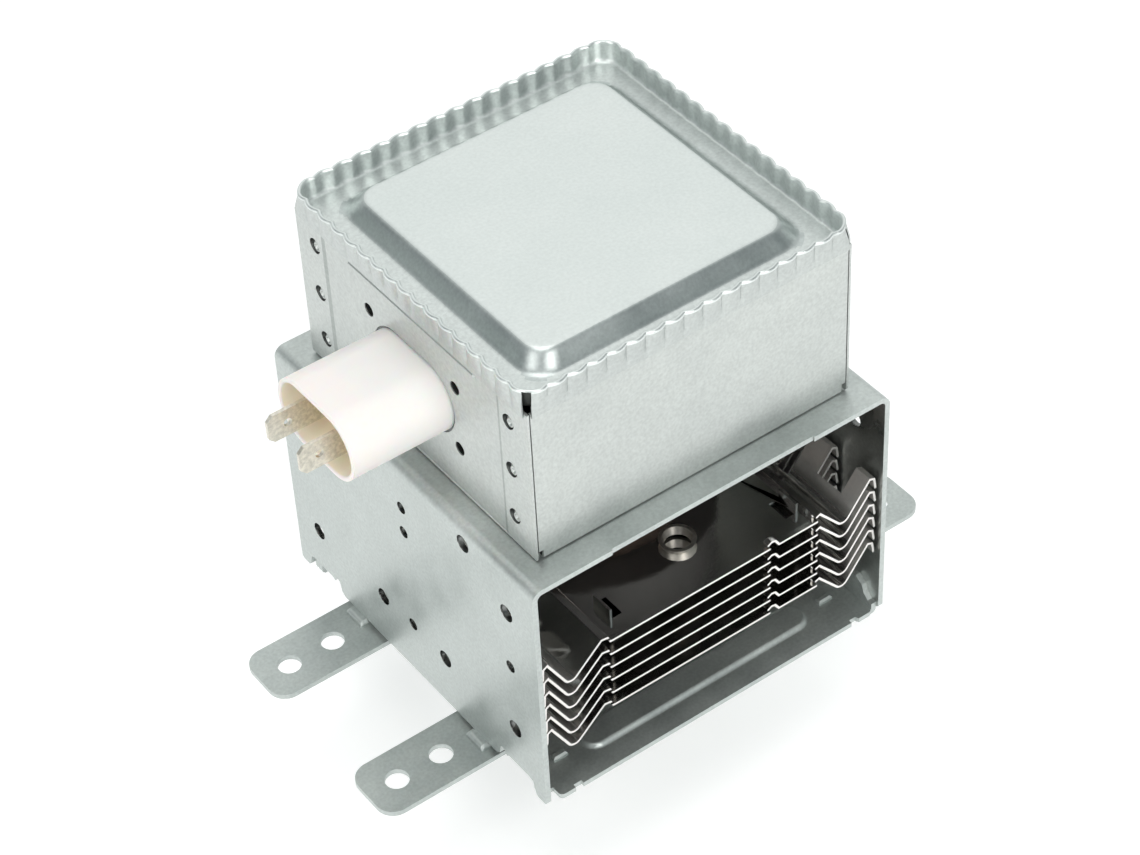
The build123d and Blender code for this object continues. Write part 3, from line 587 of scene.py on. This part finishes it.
pick(lid, in_slit)
bpy.ops.mesh.delete(type="FACE")
pick(lid, lambda edge: edge.is_boundary and max(abs(v.co.x) for v in edge.verts) < 0.015, "edges")
bpy.ops.mesh.edge_face_add()
bpy.ops.mesh.select_all(action="SELECT")
bpy.ops.mesh.normals_make_consistent(inside=False)
bpy.ops.object.mode_set(mode="OBJECT")
sheet = lid.modifiers.new("sheet", "SOLIDIFY")
sheet.thickness = 0.0003
sheet.offset = -1.0
bpy.ops.object.modifier_apply(modifier=sheet.name)
bpy.ops.object.shade_smooth_by_angle(angle=math.radians(50.0))
hand_over(lid, [lid_zinc, painted_skirt_shade, painted_slit_shade, painted_gutter_shade, painted_shoulder_shade], "lid_steel", "filter_case_lid")
# Painted shade by faces: the corner slits near black, the skirt, the gutter with the rim's inner face, and the
# plateau's shoulder darker copies of the plating.
slot_reach, skirt_reach, shoulder_rise = 0.00525, 0.0049, 0.0033
for face in lid.data.polygons:
    spot = face.center
    beyond = Vector((max(abs(spot.x) - core_x, 0.0), max(abs(spot.y) - core_y, 0.0)))
    outwards = Vector((math.copysign(1.0, spot.x), math.copysign(1.0, spot.y))) / math.sqrt(2)
    in_corner = min(beyond) > 0.0008 and beyond.length < slot_reach and face.normal.xy.dot(outwards) > 0.3
    off_plateau = max(abs(spot.x) - plateau_foot[0], abs(spot.y) - plateau_foot[1]) > 0.0
    if in_corner and spot.z < slit_top:
        face.material_index = 2
    elif beyond.length > skirt_reach and spot.z < rim_bend:
        face.material_index = 1
    elif off_plateau and spot.z < rim_bend:
        face.material_index = 3
    elif spot.z < gutter_z + shoulder_rise:
        face.material_index = 4


# Filter capacitor: brings the heater current in through the case's wall. A white plastic tube, cream inside,
# stands on a plated flange, and its ceramic and two tinned blades are set in amber potting.
def moulded(name, colour, shade, rough, weight=0.0):
    # Plastic, potting or ceramic with faint clouds, and light scattered below its surface by the weight
    cloud_size, cloud_height, scatter = 0.004, 0.00002, 0.002
    material, tree = paint(name)
    place = add_node(tree, "ShaderNodeTexCoord")
    body = add_node(tree, "ShaderNodeBsdfPrincipled", Subsurface_Weight=weight, Subsurface_Scale=scatter)
    out = add_node(tree, "ShaderNodeOutputMaterial")
    cloud = add_node(tree, "ShaderNodeTexNoise", Scale=1.0 / cloud_size, Detail=4.0)
    tone = two_tones(tree, shade, colour)
    polish = add_node(tree, "ShaderNodeMapRange", To_Min=rough - 0.06, To_Max=rough + 0.06)
    relief = add_node(tree, "ShaderNodeBump", Distance=cloud_height)
    link = tree.links.new
    link(place.outputs["Object"], cloud.inputs["Vector"])
    link(cloud.outputs[0], tone.inputs[0])
    link(tone.outputs[2], body.inputs["Base Color"])
    link(cloud.outputs[0], polish.inputs["Value"])
    link(polish.outputs[0], body.inputs["Roughness"])
    link(cloud.outputs[0], relief.inputs["Height"])
    link(relief.outputs[0], body.inputs["Normal"])
    link(body.outputs[0], out.inputs["Surface"])
    return material


tube_white = moulded("tube_white", (0.965, 0.89, 0.87), (0.95, 0.87, 0.845), 0.38, 0.35)
tube_cream = moulded("tube_cream", (0.97, 0.93, 0.80), (0.94, 0.88, 0.72), 0.45, 0.35)
finish_with(tube_white, "capacitor_inner_tube")
tube_low, tube_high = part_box("capacitor_outer_tube")
tube_r, middle_z = (tube_high.z - tube_low.z) / 2, (tube_low.z + tube_high.z) / 2
tube_wall, lip, lip_reach, inside_ends = 0.001, 0.00035, 0.0006, 0.0025
bpy.ops.object.select_all(action="DESELECT")
bpy.ops.mesh.primitive_plane_add(size=1.0)
tube = bpy.context.active_object
tube.name = "capacitor_tube"
tube.scale = (tube_high.z - tube_low.z, tube_high.y - tube_low.y, 1.0)
tube.rotation_euler = (0.0, -math.pi / 2, 0.0)
tube.location = (tube_high.x, 0.0, middle_z)
bpy.ops.object.transform_apply(location=True, rotation=True, scale=True)
bpy.ops.object.mode_set(mode="EDIT")
bpy.ops.mesh.select_mode(type="VERT")
bpy.ops.mesh.select_all(action="SELECT")
bpy.ops.mesh.bevel(offset=tube_r, offset_type="OFFSET", segments=24, affect="VERTICES", clamp_overlap=True)
bpy.ops.mesh.select_all(action="SELECT")
bpy.ops.mesh.remove_doubles(threshold=0.00001)
bpy.ops.mesh.select_mode(type="FACE")
bpy.ops.mesh.select_all(action="SELECT")
length = tube_low.x - tube_high.x
bpy.ops.mesh.extrude_region_move(TRANSFORM_OT_translate={"value": (length + lip, 0.0, 0.0)})
bpy.ops.mesh.extrude_region_move(TRANSFORM_OT_translate={"value": (-lip * 0.6, 0.0, 0.0)})
bpy.ops.mesh.inset(thickness=lip * 0.25)
bpy.ops.mesh.inset(thickness=lip * 0.5)
bpy.ops.transform.translate(value=(-lip * 0.4, 0.0, 0.0))
bpy.ops.mesh.inset(thickness=tube_wall - 1.5 * lip)
bpy.ops.mesh.inset(thickness=lip * 0.5)
bpy.ops.transform.translate(value=(lip * 0.4, 0.0, 0.0))
bpy.ops.mesh.inset(thickness=lip * 0.25)
bpy.ops.transform.translate(value=(lip * 0.6, 0.0, 0.0))
bpy.ops.mesh.extrude_region_move(TRANSFORM_OT_translate={"value": (-length - inside_ends, 0.0, 0.0)})
bpy.ops.mesh.delete(type="FACE")
bpy.ops.mesh.select_all(action="SELECT")
bpy.ops.mesh.normals_make_consistent(inside=False)
bpy.ops.object.mode_set(mode="OBJECT")
bpy.ops.object.shade_smooth_by_angle(angle=math.radians(50.0))
hand_over(tube, [tube_white, tube_cream], "white_plastic", "capacitor_outer_tube")
for face in tube.data.polygons:
    spot = face.center
    from_middle = math.hypot(max(abs(spot.y) - (tube_high.y - tube_r), 0.0), spot.z - middle_z)
    if from_middle < tube_r - 0.6 * tube_wall and spot.x > tube_low.x + lip_reach:
        face.material_index = 1
potting_amber = moulded("potting_amber", (0.80, 0.58, 0.22), (0.66, 0.44, 0.14), 0.2)
finish_with(potting_amber, "capacitor_potting")
tin_pale, tin_dull = (0.84, 0.81, 0.73), (0.70, 0.66, 0.57)
tin = sheet_metal("tin_plate", tin_pale, tin_dull, gloss=(0.3, 0.5), speckle=0.2, metallic=0.7)
finish_with(tin, "terminal_blade_1", "terminal_blade_2")
ceramic_grey = moulded("titanate_ceramic", (0.45, 0.42, 0.38), (0.38, 0.35, 0.32), 0.6)
finish_with(ceramic_grey, "capacitor_ceramic")
dark_zinc = sheet_metal("dark_zinc", (0.20, 0.21, 0.20), (0.15, 0.16, 0.155))
finish_with(dark_zinc, "capacitor_flange")

# Choke coils: keep the tube's radio noise off the supply. Enamelled copper wire is wound on ferrite rods,
# and its ends run from the capacitor to the terminals on the tube's stem.
enamel = sheet_metal("enamelled_copper", (0.62, 0.28, 0.13), (0.45, 0.17, 0.07), gloss=(0.22, 0.32))
finish_with(enamel, "choke_coil_1", "choke_coil_2")
ferrite = moulded("ferrite", (0.055, 0.053, 0.052), (0.035, 0.033, 0.033), 0.55)
finish_with(ferrite, "choke_core_1", "choke_core_2")

# Cooling fins: carry the anode's heat to the fan's air. Six sheets of thin bright aluminium, each pressed to
# a zigzag at both ends, with tabs and a burred collar, are pushed over the anode between the yoke's walls.
fin_pale, fin_shade, folds_start = (0.86, 0.845, 0.82), (0.79, 0.775, 0.75), 0.0245
fin_metal = sheet_metal("fin_aluminium", fin_pale, fin_shade, gloss=(0.08, 0.16), speckle=0.04)
collar_metal = sheet_metal("fin_collar", (0.66, 0.64, 0.60), (0.52, 0.50, 0.46), gloss=(0.34, 0.46))
tree = fin_metal.node_tree
metal = [n for n in tree.nodes if n.type == "BSDF_PRINCIPLED"][0]
polish = metal.inputs["Roughness"].links[0].from_node
place = [n for n in tree.nodes if n.type == "TEX_COORD"][0]
where = add_node(tree, "ShaderNodeSeparateXYZ")
aside = add_node(tree, "ShaderNodeMath", operation="ABSOLUTE")
rubbed = add_node(tree, "ShaderNodeMapRange", From_Min=0.0325, From_Max=0.0350, To_Max=0.30)
duller = add_node(tree, "ShaderNodeMath", operation="ADD")
tree.links.new(place.outputs["Object"], where.inputs[0])
tree.links.new(where.outputs["X"], aside.inputs[0])
tree.links.new(aside.outputs[0], rubbed.inputs["Value"])
tree.links.new(rubbed.outputs[0], duller.inputs[0])
tree.links.new(polish.outputs[0], duller.inputs[1])
tree.links.new(duller.outputs[0], metal.inputs["Roughness"])
fin_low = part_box("cooling_fin_1")[0]
first_fin = welded_copy("cooling_fin_1", "cooling_fin_pressing_1")
bpy.ops.object.mode_set(mode="EDIT")
bpy.ops.mesh.select_mode(type="EDGE")


def is_fold(edge):
    first, second = [v.co for v in edge.verts]
    run = second - first
    straight = abs(run.y) > 0.0008 and abs(run.x) < 0.00002 and abs(run.z) < 0.00002
    if not straight or len(edge.link_faces) != 2:
        return False
    bend = math.degrees(edge.calc_face_angle(0.0))
    return abs(first.x) > folds_start and (12.0 < bend < 86.0 or bend > 94.0)


def on_collar(spot, reach, lowest=0.0):
    return (spot.xy - collar_middle).length < reach and spot.z > lowest


round_over(first_fin, is_fold, 0.0004, 4)
collar_middle, collar_r, collar_top = Vector((0.0, -0.0305)), 0.0031, 0.0194
collar_shift, collar_growth, collar_flare, collar_sink = Vector((0.0010, 0.0008)), 1.08, 1.15, 0.0006
bpy.ops.mesh.select_mode(type="VERT")
pick(first_fin, lambda v: on_collar(v.co, collar_r + 0.0002), "verts")
bpy.ops.transform.translate(value=(*collar_shift, 0.0))
collar_middle, collar_r = collar_middle + collar_shift, collar_r * collar_growth
wider = (collar_growth, collar_growth, 1.0)
bpy.ops.transform.resize(value=wider, center_override=(*collar_middle, collar_top))
pick(first_fin, lambda v: on_collar(v.co, collar_r + 0.0001, collar_top - 0.0003), "verts")
flared = (collar_flare, collar_flare, 1.0)
bpy.ops.transform.resize(value=flared, center_override=(*collar_middle, collar_top))
bpy.ops.transform.translate(value=(0.0, 0.0, -collar_sink))
bpy.ops.object.mode_set(mode="OBJECT")
ease_edges(first_fin, 0.0001, steps=3, angle=35.0)
first_fin.data.materials.clear()
first_fin.data.materials.append(fin_metal)
first_fin.data.materials.append(collar_metal)
for face in first_fin.data.polygons:
    if on_collar(face.center, 0.0045, collar_top - 0.0016):
        face.material_index = 1
for number in range(1, 7):
    if number == 1:
        fin = first_fin
    else:
        fin = bpy.data.objects.new("cooling_fin_pressing_" + str(number), first_fin.data.copy())
        bpy.context.scene.collection.objects.link(fin)
        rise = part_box("cooling_fin_" + str(number))[0].z - fin_low.z
        fin.data.transform(Matrix.Translation((0.0, 0.0, rise)))
    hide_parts("cooling_fin_" + str(number))
    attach(fin, "root")

# Anode: the vacuum tube's copper cylinder. Its vanes are brazed in, and two copper strap rings tie every
# second vane together. The antenna's lead is brazed to one vane and pinched off in the exhaust tube.
copper = sheet_metal("copper", (0.36, 0.28, 0.24), (0.27, 0.21, 0.18), gloss=(0.25, 0.45))
finish_with(copper, "anode_block", "strap_ring_inner", "strap_ring_outer", "antenna_lead", "exhaust_tube")

# Magnets and pole pieces: two ferrite rings lie against the yoke and the plate, and soft iron funnels at the
# tube's ends lead their field to the cathode. Iron cups seal the tube and are brazed to its ceramics.
finish_with(ferrite, "magnet_output", "magnet_input")
iron = sheet_metal("soft_iron", (0.50, 0.49, 0.47), (0.38, 0.37, 0.36), gloss=(0.35, 0.5))
finish_with(iron, "pole_piece_input", "pole_piece_output", "sealing_cup_input", "sealing_cup_output")

# Cathode: a coil of tungsten wire between two end hats, on two leads that come down from the ceramic stem,
# where two tinned terminals are brazed to them.
tungsten = sheet_metal("tungsten", (0.42, 0.42, 0.44), (0.3, 0.3, 0.31), gloss=(0.4, 0.55))
finish_with(tungsten, "filament", "end_hat_lower", "end_hat_upper")
finish_with(tungsten, "cathode_centre_lead", "cathode_side_lead")
alumina = moulded("alumina", (0.86, 0.80, 0.78), (0.80, 0.73, 0.71), 0.45)
finish_with(alumina, "stem_ceramic")
finish_with(tin, "stem_terminal_1", "stem_terminal_2")

# Output: the antenna's alumina ring and the stainless cap pressed over its exhaust tube stand out below the
# plate, inside a gasket of knitted metal mesh that seals the joint to the waveguide.
finish_with(alumina, "output_ceramic")
steel_cap = sheet_metal("stainless", (0.66, 0.65, 0.63), (0.58, 0.57, 0.55), gloss=(0.18, 0.3), speckle=0.03)
finish_with(steel_cap, "antenna_cap")
mesh_metal = sheet_metal("knitted_mesh", (0.6, 0.6, 0.58), (0.3, 0.3, 0.29), gloss=(0.3, 0.5), speckle=0.4)
finish_with(mesh_metal, "gasket_ring")
